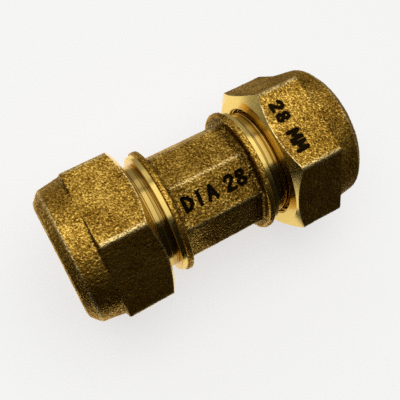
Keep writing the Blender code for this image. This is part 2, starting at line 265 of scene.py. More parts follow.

# %% [markdown]
# ## Size marks sunk in the casting
#
# The pattern that the sand is packed round carries raised or sunk letters, so a cast mark has soft
# walls and a rough floor. Here each sign is a few pen strokes. A point of the shell that lies within
# half a stroke's width of one is pushed in, and remembers it in an attribute that the material paints
# nearly black. Only plain signs are used: the tube's diameter.

# %% Signs as pen strokes
SIGNS = {
    "2": [[(0, 0.75), (0.12, 0.97), (0.45, 0.97), (0.58, 0.72), (0, 0), (0.6, 0)]],
    "8": [
        [(0.3, 0.52), (0.05, 0.72), (0.14, 0.98), (0.46, 0.98), (0.55, 0.72), (0.3, 0.52)],
        [(0.3, 0.52), (0, 0.26), (0.12, 0), (0.48, 0), (0.6, 0.26), (0.3, 0.52)],
    ],
    "M": [[(0, 0), (0.04, 1), (0.36, 0.35), (0.68, 1), (0.72, 0)]],
    "D": [[(0, 0), (0, 1), (0.34, 0.92), (0.56, 0.62), (0.56, 0.38), (0.34, 0.08), (0, 0)]],
    "I": [[(0.25, 0), (0.25, 1)]],
    "A": [[(0, 0), (0.3, 1), (0.6, 0)], [(0.12, 0.34), (0.48, 0.34)]],
}


def stroke_segments(text, height, advance, gap):
    """The strokes of a line of text, centred on zero, as (start, stop) pairs."""
    pen, segments = 0.0, []
    for sign in text:
        for stroke in SIGNS.get(sign, ()):
            places = [Vector((pen + u * height, (v - 0.5) * height)) for u, v in stroke]
            segments += list(zip(places, places[1:]))
        pen += gap if sign == " " else advance
    middle = Vector(((pen - advance + 0.6 * height) / 2, 0))
    return [(start - middle, stop - middle) for start, stop in segments]


# %% [markdown]
# The signs are laid on a flat by three directions: the way they read, their up and the flat's normal. A
# Boolean with text would leave sharp walls and break the grid, so the shell's own points are pushed.

# %% Sinking a mark in a flat
MARK_REACH = 1.5 * MM
MARK_WIDTH = 0.66 * MM
MARK_DEPTH = 0.4 * MM
MARK_WALL = MARK_WIDTH * 0.4
FAR_AWAY = 1.0


def sink_text(obj, text, centre, reading, normal, height, advance, gap, end=1):
    """Sinks a text in the flat whose middle is centre, in the frame of the right end."""
    points = read_points(obj) * (end, end, 1)
    up = normal.cross(reading)
    away = points - np.array(centre)
    u, v, depth = (away @ np.array(axis) for axis in (reading, up, normal))
    near = (np.abs(depth) < MARK_REACH) & (np.abs(v) < height) & (np.abs(u) < 6 * height)
    distance = np.full(len(points), FAR_AWAY)
    for start, stop in stroke_segments(text, height, advance, gap):
        along = stop - start
        du, dv = u[near] - start.x, v[near] - start.y
        part = np.clip((du * along.x + dv * along.y) / max(along.length_squared, 1e-12), 0, 1)
        gone = np.hypot(du - part * along.x, dv - part * along.y)
        distance[near] = np.minimum(distance[near], gone)
    sunk = np.clip((MARK_WIDTH - distance) / MARK_WALL, 0, 1)
    points -= sunk[:, None] * MARK_DEPTH * np.array(normal)
    obj.data.vertices.foreach_set("co", (points * (end, end, 1)).ravel())
    paint(obj, "mark", sunk)
    print(obj.name, "carries", repr(text), "on", int((sunk > 0).sum()), "points")


# %% [markdown]
# ## The skin of a sand casting
#
# Molten brass fills the gaps between the grains of sand, so the casting's skin is a print of the
# sand: rounded grains under a millimetre across, on top of slow waves left by the mould. A bump map
# alone would leave the outline smooth, and a Displace modifier knows only one texture. A Geometry
# Nodes tree moves the points along their normals by two noises, keeps the grain's height in an
# attribute for the material, and gives each face its finish. Machined faces stay where they are.


# %% Helpers for node trees
def add(tree, kind, inputs=None, **settings):
    """Adds a node, sets its settings, and fills inputs from values or from sockets to link."""
    node = tree.nodes.new(kind)
    for name, value in settings.items():
        setattr(node, name, value)
    for name, value in (inputs or {}).items():
        socket = node.inputs[name]
        if isinstance(value, bpy.types.NodeSocket):
            tree.links.new(value, socket)
        else:
            socket.default_value = value
    return node


def math_node(tree, operation, first, second=0.0):
    """One calculation on two values or sockets."""
    return add(tree, "ShaderNodeMath", {0: first, 1: second}, operation=operation).outputs[0]


def plus(tree, first, second):
    """The sum of two values or sockets."""
    return math_node(tree, "ADD", first, second)


def times(tree, first, second):
    """The product of two values or sockets."""
    return math_node(tree, "MULTIPLY", first, second)


def noise(tree, place, scale, detail=2.0, roughness=0.5):
    """A noise of the given scale per metre."""
    inputs = {"Vector": place, "Scale": scale, "Detail": detail, "Roughness": roughness}
    return add(tree, "ShaderNodeTexNoise", inputs).outputs[0]


def rescaled(tree, value, low, high, to_low=0.0, to_high=1.0):
    """Maps a value from one range to another, and stops at the ends."""
    ends = {"From Min": low, "From Max": high, "To Min": to_low, "To Max": to_high}
    return add(tree, "ShaderNodeMapRange", {"Value": value} | ends).outputs[0]


# %% [markdown]
# Every tree starts with named inputs and ends in real geometry with a material, so both are helpers. An
# input is set by its identifier, before the tree first runs, and the result is kept as a plain mesh.

# %% Helpers for Geometry Nodes
def tree_inputs(tree, sizes, materials, counts=()):
    """Names a geometry tree's inputs, after the geometry that comes in, and its output."""
    kinds = [("Geometry", "Geometry")]
    kinds += [(name, "Float") for name in sizes]
    kinds += [(name, "Int") for name in counts]
    kinds += [(name, "Material") for name in materials]
    for name, kind in kinds:
        tree.interface.new_socket(name, in_out="INPUT", socket_type=f"NodeSocket{kind}")
    tree.interface.new_socket("Geometry", in_out="OUTPUT", socket_type="NodeSocketGeometry")
    return tree.nodes.new("NodeGroupInput").outputs, tree.nodes.new("NodeGroupOutput")


def close_tree(tree, result, geometry, material):
    """Ends a tree in real geometry with its material."""
    real = add(tree, "GeometryNodeRealizeInstances", {0: geometry}).outputs[0]
    inputs = {"Geometry": real, "Material": material}
    done = add(tree, "GeometryNodeSetMaterial", inputs).outputs[0]
    tree.links.new(done, result.inputs[0])


def made_by_nodes(obj, tree, values):
    """Runs a tree on an object with the given inputs, and keeps the result as a plain mesh."""
    modifier = obj.modifiers.new(tree.name, "NODES")
    modifier.node_group = tree
    sockets = {item.name: item for item in tree.interface.items_tree if item.in_out == "INPUT"}
    for name, value in values.items():
        modifier[sockets[name].identifier] = value
    bpy.context.view_layer.update()
    graph = bpy.context.evaluated_depsgraph_get()
    mesh = bpy.data.meshes.new_from_object(obj.evaluated_get(graph))
    obj.modifiers.remove(modifier)
    mesh.name = obj.name
    obj.data = mesh
    return obj


# %% [markdown]
# Two noises, one fine and one slow, are added up to a height. It moves each cast point along its normal,
# and the fine noise stays on the points for the material. Machined faces get the second material.

# %% The skin tree
def skin_tree():
    """Moves cast points along their normals and gives every face its material."""
    tree = bpy.data.node_groups.new("cast_skin", "GeometryNodeTree")
    sizes = ("Grain Size", "Grain Depth", "Wave Size", "Wave Depth")
    given, result = tree_inputs(tree, sizes, ("Cast", "Machined"))
    place = add(tree, "GeometryNodeInputPosition").outputs[0]
    grain_scale = math_node(tree, "DIVIDE", 1.0, given["Grain Size"])
    wave_scale = math_node(tree, "DIVIDE", 1.0, given["Wave Size"])
    grain = noise(tree, place, grain_scale, 1.0)
    wave = noise(tree, place, wave_scale, 1.0)
    grain_height = math_node(tree, "SUBTRACT", grain, 0.5)
    wave_height = math_node(tree, "SUBTRACT", wave, 0.5)
    grain_rise = times(tree, grain_height, given["Grain Depth"])
    wave_rise = times(tree, wave_height, given["Wave Depth"])
    height = plus(tree, grain_rise, wave_rise)
    cast = add(tree, "GeometryNodeInputNamedAttribute", {"Name": "cast"}, data_type="FLOAT")
    offset = add(
        tree,
        "ShaderNodeVectorMath",
        {
            0: add(tree, "GeometryNodeInputNormal").outputs[0],
            "Scale": times(tree, height, cast.outputs[0]),
        },
        operation="SCALE",
    ).outputs[0]
    kept = add(
        tree,
        "GeometryNodeStoreNamedAttribute",
        {"Geometry": given["Geometry"], "Name": "grain", "Value": grain},
        data_type="FLOAT",
        domain="POINT",
    ).outputs[0]
    moved = add(tree, "GeometryNodeSetPosition", {"Geometry": kept, "Offset": offset}).outputs[0]
    machined = add(
        tree, "GeometryNodeInputNamedAttribute", {"Name": "machined"}, data_type="BOOLEAN"
    ).outputs[0]
    real = add(tree, "GeometryNodeRealizeInstances", {0: moved}).outputs[0]
    skinned = add(
        tree, "GeometryNodeSetMaterial", {"Geometry": real, "Material": given["Cast"]}
    ).outputs[0]
    finished = add(
        tree,
        "GeometryNodeSetMaterial",
        {"Geometry": skinned, "Selection": machined, "Material": given["Machined"]},
    ).outputs[0]
    tree.links.new(finished, result.inputs[0])
    return tree


# %% [markdown]
# ## Materials
#
# Brass is a metal, so its colour is the colour of its reflections. The casting was never polished:
# its hollows hold oxide and moulding sand, which are dull and nearly black, and only the tops of the
# grains shine. The material therefore reads the grain's height: low points are dark and rough, high
# points are bright and smoother. A finer noise, too small for the mesh, adds the sparkle.


# %% Helpers for materials
def new_material(name):
    """A material and its tree, with the Principled shader to fill."""
    material = bpy.data.materials.new(name)
    material.use_nodes = True
    return material, material.node_tree, material.node_tree.nodes["Principled BSDF"]


def polished_edge(shader):
    """Keeps brass yellow where it is seen at a slant, instead of turning white."""
    shader.inputs["Metallic"].default_value = 1.0
    shader.inputs["Specular Tint"].default_value = (0.97, 0.86, 0.66, 1.0)


def ramp(tree, value, stops):
    """A colour ramp with the given (place, colour) stops."""
    node = add(tree, "ShaderNodeValToRGB", {"Fac": value})
    while len(node.color_ramp.elements) < len(stops):
        node.color_ramp.elements.new(1.0)
    for element, (place, colour) in zip(node.color_ramp.elements, stops):
        element.position = place
        element.color = (*colour, 1.0)
    return node.outputs["Color"]


def mixed(tree, part, first, second):
    """A colour between two, by a value from 0 to 1."""
    node = add(tree, "ShaderNodeMix", data_type="RGBA")
    for socket, value in ((node.inputs[0], part), (node.inputs[6], first), (node.inputs[7], second)):
        if isinstance(value, bpy.types.NodeSocket):
            tree.links.new(value, socket)
        else:
            socket.default_value = value
    return node.outputs[2]


def bumped(tree, strength, depth, height):
    """Normals tilted as if the surface had the given height."""
    inputs = {"Strength": strength, "Distance": depth, "Height": height}
    return add(tree, "ShaderNodeBump", inputs).outputs[0]


def fill_shader(tree, shader, colour, rough, normal):
    """Links the three things that vary over every finish here."""
    for name, value in (("Base Color", colour), ("Roughness", rough), ("Normal", normal)):
        tree.links.new(value, shader.inputs[name])


# %% [markdown]
# The colour runs from a dark hollow to a bright grain top. Wear with a painted highlight on corners and
# edges, painted shade with a darkening of the body, and the sunk mark painted nearly black are laid
# over it in that order, each by the value that the points keep for it.

# %% Cast brass
SKIN_COLOURS = [
    (0.36, (0.040, 0.016, 0.002)),
    (0.45, (0.24, 0.118, 0.011)),
    (0.54, (0.47, 0.262, 0.034)),
    (0.62, (1.0, 0.66, 0.14)),
]
# The first colour below is wear on the corners and a painted highlight along edges. The second is
# painted shade and a darkening of the body.
WEAR_AND_HIGHLIGHT_COLOUR = (1.0, 0.78, 0.33, 1.0)
SHADE_AND_DARKENING_COLOUR = (0.03, 0.014, 0.003, 1.0)
MARK_COLOUR = (0.010, 0.006, 0.002, 1.0)
SPARKLE_SCALE, PATCH_SCALE = 3600, 120


def cast_brass():
    """Sand-cast brass with bright grain tops, dirty hollows and black marks."""
    material, tree, shader = new_material("cast_brass")
    place = add(tree, "ShaderNodeTexCoord").outputs["Object"]
    grain, mark, wear_and_highlight, shade_and_darkening = (
        add(tree, "ShaderNodeAttribute", attribute_name=name).outputs["Fac"]
        for name in ("grain", "mark", "wear_and_highlight", "shade_and_darkening")
    )
    fine = noise(tree, place, SPARKLE_SCALE, 2.0, 0.6)
    patches = noise(tree, place, PATCH_SCALE, 2.0)
    level = plus(tree, times(tree, grain, 0.6), times(tree, fine, 0.4))
    level = plus(tree, level, times(tree, patches, 0.2))
    level = math_node(tree, "SUBTRACT", level, 0.1)
    colour = ramp(tree, level, SKIN_COLOURS)
    broken = rescaled(tree, level, 0.4, 0.56)
    # Wear and painted highlight: the bright colour goes on the corners and edges that the points mark.
    colour = mixed(tree, times(tree, wear_and_highlight, broken), colour, WEAR_AND_HIGHLIGHT_COLOUR)
    specks = math_node(tree, "SUBTRACT", 1.0, times(tree, broken, 0.6))
    # Painted shade where the hexagon meets the collar, and a darkening of the body, by the values on the
    # points.
    colour = mixed(tree, times(tree, shade_and_darkening, specks), colour, SHADE_AND_DARKENING_COLOUR)
    colour = mixed(tree, rescaled(tree, mark, 0.3, 0.7), colour, MARK_COLOUR)
    rough = rescaled(tree, level, 0.38, 0.64, 0.6, 0.3)
    fill_shader(tree, shader, colour, rough, bumped(tree, 0.8, 0.04 * MM, fine))
    polished_edge(shader)
    return material


# %% [markdown]
# The lathe leaves fine grooves round the axis: rings on a face, lines on a cylinder. Both come from
# one wave of the radius plus the place along the axis, because one of the two is constant on each.
# The wave only tilts the light, so it is a bump, and a slow noise dulls the metal here and there.
# Inside the thread's core, where the nut and the ridges shade the metal, a dark brown is painted in
# as shade.


# %% Machined brass
THREAD_ROOT_SHADE_COLOUR = (0.40, 0.25, 0.055, 1.0)
STAIN_SCALE, SCRATCH_SCALE = 160, 900


def machined_brass(name, colour, roughness, groove_pitch, groove_strength):
    """Brass off the lathe, with its tool marks, and painted shade inside the thread's core."""
    material, tree, shader = new_material(name)
    place = add(tree, "ShaderNodeTexCoord").outputs["Object"]
    axes = add(tree, "ShaderNodeSeparateXYZ", {0: place}).outputs
    squares = [times(tree, axes[i], axes[i]) for i in (1, 2)]
    radius = math_node(tree, "SQRT", plus(tree, *squares))
    along = plus(tree, radius, axes[0])
    wave = math_node(tree, "SINE", times(tree, along, 2 * math.pi / groove_pitch))
    stain = noise(tree, place, STAIN_SCALE, 3.0, 0.6)
    fine = noise(tree, place, SCRATCH_SCALE, 2.0)
    darker = tuple(channel * 0.75 for channel in colour)
    shade = mixed(tree, stain, (*darker, 1.0), (*colour, 1.0))
    # Painted shade: inside the thread's core radius the colour turns to a dark brown.
    out_of_shade = rescaled(tree, radius, THREAD_CORE, THREAD_CORE + 0.6 * MM)
    shade = mixed(tree, out_of_shade, THREAD_ROOT_SHADE_COLOUR, shade)
    dullness = plus(tree, times(tree, stain, 0.6), fine)
    rough = rescaled(tree, dullness, 0.5, 1.1, roughness * 0.75, roughness * 1.35)
    height = plus(tree, wave, times(tree, fine, 0.5))
    normal = bumped(tree, groove_strength, 0.01 * MM, height)
    fill_shader(tree, shader, shade, rough, normal)
    polished_edge(shader)
    return material


CAST = cast_brass()
MACHINED = machined_brass("machined_brass", (0.86, 0.63, 0.18), 0.2, 0.45 * MM, 0.10)
THREAD = machined_brass("thread_brass", (0.92, 0.69, 0.22), 0.17, 0.4 * MM, 0.02)
print("made", CAST.name + ",", MACHINED.name, "and", THREAD.name)


# %% [markdown]
# The rubber is dull, with a faint bloom. The gripper band is stainless steel, and the garter spring
# is bronze wire. They sit deep in the nut, so each takes a short material of its own.


# %% Rubber, steel and bronze
def plain_finish(name, dark, light, metallic, low_rough, high_rough, scale):
    """A finish whose colour and roughness wander together."""
    material, tree, shader = new_material(name)
    place = add(tree, "ShaderNodeTexCoord").outputs["Object"]
    patch = noise(tree, place, scale, 3.0, 0.6)
    colour = ramp(tree, patch, [(0.3, dark), (0.7, light)])
    rough = rescaled(tree, patch, 0.0, 1.0, low_rough, high_rough)
    fill_shader(tree, shader, colour, rough, bumped(tree, 0.3, 0.02 * MM, patch))
    shader.inputs["Metallic"].default_value = metallic
    return material


RUBBER = plain_finish("gasket_rubber", (0.012,) * 3, (0.03,) * 3, 0.0, 0.55, 0.8, 1500)
STEEL = plain_finish("gripper_steel", (0.42,) * 3, (0.62,) * 3, 1.0, 0.22, 0.4, 700)
BRONZE = plain_finish("spring_bronze", (0.42, 0.22, 0.08), (0.66, 0.38, 0.16), 1.0, 0.2, 0.4, 900)
WASHER = machined_brass("washer_brass", (0.84, 0.64, 0.30), 0.3, 0.2 * MM, 0.25)
print("made", RUBBER.name + ",", STEEL.name + ",", BRONZE.name, "and", WASHER.name)


# %% [markdown]
# ## The coupling nut
#
# The nut's section starts on the machined inboard face, climbs the cone that trims the hexagon,
# runs along the flats, steps down to the round collar, rolls over to the end face and comes back
# through the bore. The cone meets each flat in a curve. Because every column has its own radius,
# the rings on the cone end exactly on that curve, and it stays a crisp line.


# %% Rings of the nut
def between(first, second, count, machined):
    """Rings that blend from one (x, radius) pair to another, without the first."""
    rings = []
    for part in range(1, count + 1):
        share = part / count
        x = first[0] + (second[0] - first[0]) * share
        rings.append((x, first[1] + (second[1] - first[1]) * share, machined))
    return rings


GRAIN_STEP = 0.26 * MM
SMOOTH_STEP = 1.5 * MM
# The soft step down from the hexagon: millimetres along the axis, and how much of it is left.
STEP_ROUND = 0.6 * MM
STEP_SHAPE = (
    (-0.36, 0.99),
    (-0.14, 0.95),
    (0.0, 0.86),
    (0.06, 0.68),
    (0.1, 0.48),
    (0.15, 0.3),
    (0.26, 0.14),
    (0.5, 0.04),
    (0.8, 0.0),
)


def nut_rings():
    """The nut of the right end."""
    cone_end = NUT_FACE + (hexagon - FACE_RADIUS) * math.tan(FACE_CONE)
    rings = section([(NUT_FACE, NUT_CORE + 0.25 * MM, 0), (NUT_FACE, FACE_RADIUS, 0)], MM, 1)
    rings += between((NUT_FACE, FACE_RADIUS), (cone_end, hexagon), 5, 1)
    flat_end = HEX_END - STEP_ROUND
    flats = math.ceil((flat_end - NUT_FACE) / GRAIN_STEP)
    rings += between((cone_end, hexagon), (flat_end, hexagon), flats, 0)
    for along, share in STEP_SHAPE:
        radius = COLLAR_START_RADIUS + (hexagon - COLLAR_START_RADIUS) * share
        rings.append((HEX_END + along * MM, radius, 0))
    lip_edge = LIP_RADIUS + 0.5 * MM
    outer_end = [
        (HEX_END + STEP_SHAPE[-1][0] * MM, COLLAR_START_RADIUS, 0),
        (COLLAR_END, COLLAR_END_RADIUS, 0.9 * MM),
        (END_CONE_END, END_CONE_RADIUS, 0.9 * MM),
        (NUT_END, END_CONE_RADIUS - 1.4 * MM, 1.0 * MM),
        (NUT_END, lip_edge, 0),
    ]
    rings += section(outer_end, GRAIN_STEP, 0, True)
    inside = [
        (NUT_END, lip_edge, 0),
        (NUT_END - 0.5 * MM, LIP_RADIUS, 0),
        (LIP_START, LIP_RADIUS, 0),
        (LIP_START, CONE_RADIUS, 0),
        (CONE_START, CHAMBER_RADIUS, 0),
        (CHAMBER_START, CHAMBER_RADIUS, 0),
        (CHAMBER_START, RELIEF_RADIUS, 0),
        (TAP_END, RELIEF_RADIUS, 0),
        (TAP_END, NUT_CORE, 0),
        (NUT_FACE + 0.4 * MM, NUT_CORE, 0),
    ]
    return rings + section(inside, SMOOTH_STEP, 1, True)


# %% [markdown]
# ## Grain, wear, painted highlights and painted shade
#
# Smooth shading hides the small quads, and only angles over 28 degrees stay sharp. Wrenches and other
# fittings rub the hexagon's corners bright, and a painted highlight is laid on the corners, along the
# rim of the machined cone and round the collar's shoulder. Painted shade lies where the hexagon steps
# down to the collar, strongest at the corners. Painting them on as an image would need unwrapping, so
# both are values kept on the points, worked out from the section, and they turn with the nut. The skin
# tree then presses the grain in.

# %% Finishing a casting
SHARP_ANGLE = math.radians(28)
GRAIN_SIZE, GRAIN_DEPTH = 0.46 * MM, 0.5 * MM
WAVE_SIZE, WAVE_DEPTH = 4.5 * MM, 0.3 * MM
SKIN = skin_tree()


def smooth_shade(mesh):
    """Smooth shading that keeps the real edges."""
    mesh.shade_smooth()
    mesh.set_sharp_from_angle(angle=SHARP_ANGLE)


def finish_casting(obj, body, node):
    """Roughens a casting, and hands it over to the body that it moves with."""
    smooth_shade(obj.data)
    values = {
        "Grain Size": GRAIN_SIZE,
        "Grain Depth": GRAIN_DEPTH,
        "Wave Size": WAVE_SIZE,
        "Wave Depth": WAVE_DEPTH,
        "Cast": CAST,
        "Machined": MACHINED,
    }
    made_by_nodes(obj, SKIN, values)
    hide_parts(node)
    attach(obj, body)
    print(obj.name, "has", len(obj.data.polygons), "faces")
    return obj


# %% [markdown]
# Both nuts are one shape, laid at each end. Only the right one carries the size mark, on the flat that
# faces up, where it reads round the nut and not along it.

# %% Build both nuts
def paint_wear_highlight_and_shade(obj, end):
    """Wear and painted highlight on the corners and edges, painted shade where hexagon meets collar."""
    points = read_points(obj) * (end, end, 1)
    x, reach = points[:, 0], np.hypot(points[:, 1], points[:, 2])
    # Wear and a painted highlight on the hexagon's corners.
    corner = np.clip((reach - hexagon.max() + 0.32 * MM) / (0.3 * MM), 0, 1) * (x < HEX_END)
    crease = NUT_FACE + (reach - FACE_RADIUS) * math.tan(FACE_CONE)
    # A painted highlight along the rim where the machined cone meets the flats.
    rim = 1.6 * np.clip(1.2 - (x - crease) / (0.3 * MM), 0, 1) * (reach > FACE_RADIUS)
    # A painted highlight round the shoulder where the collar rolls over to the end.
    shoulder = 1.1 * np.clip(1 - np.abs(x - COLLAR_END) / (0.55 * MM), 0, 1) * (reach > 20 * MM)
    paint(obj, "wear_and_highlight", np.maximum(np.maximum(corner, rim), shoulder))
    # Painted shade where the hexagon steps down to the collar, only near the corners.
    foot = np.clip(1 - np.abs(x - HEX_END - 0.35 * MM) / (0.6 * MM), 0, 1)
    deep = np.clip((hexagon[np.arange(len(points)) % NUT_COLUMNS] - HEX_FLAT) / MM, 0, 1)
    paint(obj, "shade_and_darkening", foot * deep)


NUT_MARK = (3.6 * MM, 3.7 * MM, 2.6 * MM)
flat_turn = HEX_TURN + math.radians(90)
flat_normal = Vector((0, math.cos(flat_turn), math.sin(flat_turn)))
flat_reading = Vector((0, -math.sin(flat_turn), math.cos(flat_turn)))
for side, end in SIDES:
    nut = shell_object(f"{side}_nut_casting", nut_rings(), NUT_COLUMNS, end)
    paint_wear_highlight_and_shade(nut, end)
    if side == "right":
        middle = flat_normal * HEX_FLAT + Vector((27.6 * MM, 0, 0)) + flat_reading * -0.5 * MM
        sink_text(nut, "28 MM", middle, flat_reading, flat_normal, *NUT_MARK)
    finish_casting(nut, f"{side}_nut", f"{side}_coupling_nut")


# %% [markdown]
# ## The body
#
# The body's section runs from the middle of the octagon out to the mouth of one end: a cast flange,
# then everything that the lathe cut, which is the shoulder, the groove, the thread's core and the
# cone where the gasket seats. The other half is the same rings in reverse with X turned over.


# %% Rings of the body
FLANGE_FILLET = 1.0 * MM
FLANGE_ROUND = 0.8 * MM


def body_rings():
    """The whole body, from the left mouth over the outside to the right mouth and back inside."""
    fillet_start = FLANGE_START - FLANGE_FILLET
    count = math.ceil(fillet_start / GRAIN_STEP)
    half = [(0.5 * fillet_start / count, octagon, 0)]
    half += between(half[0][:2], (fillet_start, octagon), count, 0)
    for part in range(1, 5):
        angle = math.pi / 2 * part / 4
        x = fillet_start + FLANGE_FILLET * math.sin(angle)
        half.append((x, octagon + FLANGE_FILLET * (1 - math.cos(angle)), 0))
    rim = FLANGE_RADIUS - FLANGE_ROUND
    half += between((FLANGE_START, octagon + FLANGE_FILLET), (FLANGE_START, rim), 6, 0)
    for part in range(1, 6):
        angle = math.pi / 2 * part / 5
        x = FLANGE_START + FLANGE_ROUND * (1 - math.cos(angle))
        half.append((x, rim + FLANGE_ROUND * math.sin(angle), 0))
    top = [
        (FLANGE_START + FLANGE_ROUND, FLANGE_RADIUS, 0),
        (FLANGE_END - 0.35 * MM, FLANGE_RADIUS, 0),
        (FLANGE_END, SHOULDER_RADIUS + 0.15 * MM, 0),
    ]
    half += section(top, GRAIN_STEP, 0, True)
    core_groove = THREAD_CORE - 0.3 * MM
    turned = [
        (FLANGE_END, SHOULDER_RADIUS + 0.15 * MM, 0),
        (FLANGE_END, SHOULDER_RADIUS, 0),
        (SHOULDER_END, SHOULDER_RADIUS, 0.3 * MM),
        (SHOULDER_END, core_groove, 0.2 * MM),
        (THREAD_START - 0.3 * MM, core_groove, 0),
        (THREAD_START, THREAD_CORE, 0),
        (BODY_END, THREAD_CORE, 0.35 * MM),
        (BODY_END, SEAT_RADIUS, 0.1 * MM),
        (BODY_END - (SEAT_RADIUS - SOCKET_RADIUS), SOCKET_RADIUS, 0),
        (TUBE_STOP, SOCKET_RADIUS, 0.15 * MM),
        (TUBE_STOP, WATERWAY_RADIUS, 0.25 * MM),
        (0.5 * MM, WATERWAY_RADIUS, 0),
    ]
    half += section(turned, SMOOTH_STEP, 1, True)
    left = [(-x, radius, machined) for x, radius, machined in half]
    # The finish is told of the face before each ring, so it shifts by one where the order turns.
    flags = [ring[2] for ring in left]
    turned_over = [(x, radius, flag) for (x, radius, _), flag in zip(left, flags[1:] + [1])]
    print("half of the body takes", len(half), "rings")
    return half + turned_over[::-1]


# %% [markdown]
# The octagon's corners are rubbed pale. The body is painted a little darker all over below the flange
# rims, and much darker in the corner at each flange, over a wider band on the right than on the left.
# Both are values on the points.

# %% Build the body
BODY_MARK = (4.2 * MM, 3.9 * MM, 2.4 * MM)
body = shell_object("body_casting", body_rings(), BODY_COLUMNS)
points = read_points(body)
reach = np.hypot(points[:, 1], points[:, 2])
corner = np.clip((reach - octagon.max() + 0.2 * MM) / (0.2 * MM), 0, 1)
paint(body, "wear_and_highlight", 0.6 * corner * (np.abs(points[:, 0]) < FLANGE_START - 1.5 * MM))
# Darker all over the body, and most in the corner at each flange, over a wider band on the right.
spread = np.where(points[:, 0] > 0, 4.2 * MM, 1.8 * MM)
seam = np.clip(1 - np.abs(FLANGE_START - np.abs(points[:, 0])) / spread, 0, 1)
paint(body, "shade_and_darkening", np.clip(0.25 + seam * 1.3, 0, 1) * (reach < FLANGE_RADIUS - 0.9 * MM))
face_turn = OCTAGON_TURN + math.radians(112.5)
face_normal = Vector((0, math.cos(face_turn), math.sin(face_turn)))
face_across = Vector((0, -math.sin(face_turn), math.cos(face_turn)))
middle = face_normal * OCTAGON_FLAT + face_across * -0.4 * MM
sink_text(body, "DIA 28", middle, Vector((1, 0, 0)), face_normal, *BODY_MARK)
finish_casting(body, "body", "fitting_body")

# %% [markdown]
# ## Threads by Geometry Nodes
#
# A thread is one shape swept along a helix, which is exactly what nodes do well: a spiral curve, a
# four-sided profile, and Curve to Mesh. The same tree makes the thread outside the body and the one
# inside the nut, because a negative depth points the ridge inwards. The ridge shrinks to nothing at
# both ends, as the tool runs out of the metal.


# %% The thread tree
def thread_tree():
    """A helical ridge about X, from its start along X, round a core of the given radius."""
    tree = bpy.data.node_groups.new("thread_ridge", "GeometryNodeTree")
    sizes = ("Core Radius", "Depth", "Pitch", "Turns", "Start")
    sizes += ("Crest", "Root", "Sink", "Round", "Run Out")
    given, result = tree_inputs(tree, sizes, ("Material",))
    length = times(tree, given["Pitch"], given["Turns"])
    spiral = add(
        tree,
        "GeometryNodeCurveSpiral",
        {
            "Resolution": 96,
            "Rotations": given["Turns"],
            "Start Radius": given["Core Radius"],
            "End Radius": given["Core Radius"],
            "Height": length,
        },
    ).outputs[0]
    upright = add(tree, "GeometryNodeSetCurveNormal", {"Curve": spiral}, mode="Z_UP").outputs[0]
    part = add(tree, "GeometryNodeSplineParameter").outputs["Factor"]
    from_middle = math_node(tree, "ABSOLUTE", math_node(tree, "SUBTRACT", part, 0.5))
    from_end = math_node(tree, "SUBTRACT", 0.5, from_middle)
    turns_left = times(tree, from_end, given["Turns"])
    share = math_node(tree, "DIVIDE", turns_left, given["Run Out"])
    taper = rescaled(tree, share, 0.0, 1.0, 0.12, 1.0)
    half_crest = math_node(tree, "DIVIDE", given["Crest"], 2.0)
    half_root = math_node(tree, "DIVIDE", given["Root"], 2.0)
    corners = {}
    shape = (
        (given["Sink"], half_root, 1.0),
        (given["Depth"], half_crest, 1.0),
        (given["Depth"], half_crest, -1.0),
        (given["Sink"], half_root, -1.0),
    )
    for number, (rise, half, side) in enumerate(shape, 1):
        across = times(tree, half, side)
        corners[f"Point {number}"] = add(
            tree, "ShaderNodeCombineXYZ", {"X": rise, "Y": across}
        ).outputs[0]
    profile = add(tree, "GeometryNodeCurvePrimitiveQuadrilateral", corners, mode="POINTS").outputs[0]
    softened = add(
        tree,
        "GeometryNodeFilletCurve",
        {"Curve": profile, "Radius": given["Round"], "Count": 2, "Limit Radius": True},
        mode="POLY",
    ).outputs[0]
    swept = add(
        tree,
        "GeometryNodeCurveToMesh",
        {"Curve": upright, "Profile Curve": softened, "Scale": taper, "Fill Caps": True},
    ).outputs["Mesh"]
    spot = add(tree, "ShaderNodeCombineXYZ", {"X": given["Start"]}).outputs[0]
    laid = add(
        tree,
        "GeometryNodeTransform",
        {"Geometry": swept, "Translation": spot, "Rotation": (0.0, math.pi / 2, 0.0)},
    ).outputs[0]
    close_tree(tree, result, laid, given["Material"])
    return tree


# %% [markdown]
# Both threads have one pitch, the nut's joint advances by that pitch a turn, and so they stay meshed
# as the nut turns. The nut's ridges ride on the nut, and the body's on the body. A half turn about Z
# takes a thread to the left end and keeps its hand, where a mirror would make it left-handed.


# %% Cut all four threads
def facing_out(mesh):
    """Turns a closed mesh's faces outwards."""
    shape = bmesh.new()
    shape.from_mesh(mesh)
    bmesh.ops.recalc_face_normals(shape, faces=shape.faces)
    shape.to_mesh(mesh)
    shape.free()


def add_thread(name, body_name, end, values):
    """A thread ridge on one end, riding on a body."""
    obj = new_object(name, bpy.data.meshes.new(name))
    made_by_nodes(obj, THREAD_TREE, values | {"Pitch": THREAD_PITCH, "Material": THREAD})
    obj.data.transform(Matrix.Diagonal((end, end, 1, 1)))
    facing_out(obj.data)
    smooth_shade(obj.data)
    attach(obj, body_name)
    low, high = (np.array(obj.bound_box)[:, 0].min(), np.array(obj.bound_box)[:, 0].max())
    print(name, "runs from", round(low / MM, 2), "to", round(high / MM, 2), "mm")
    return obj


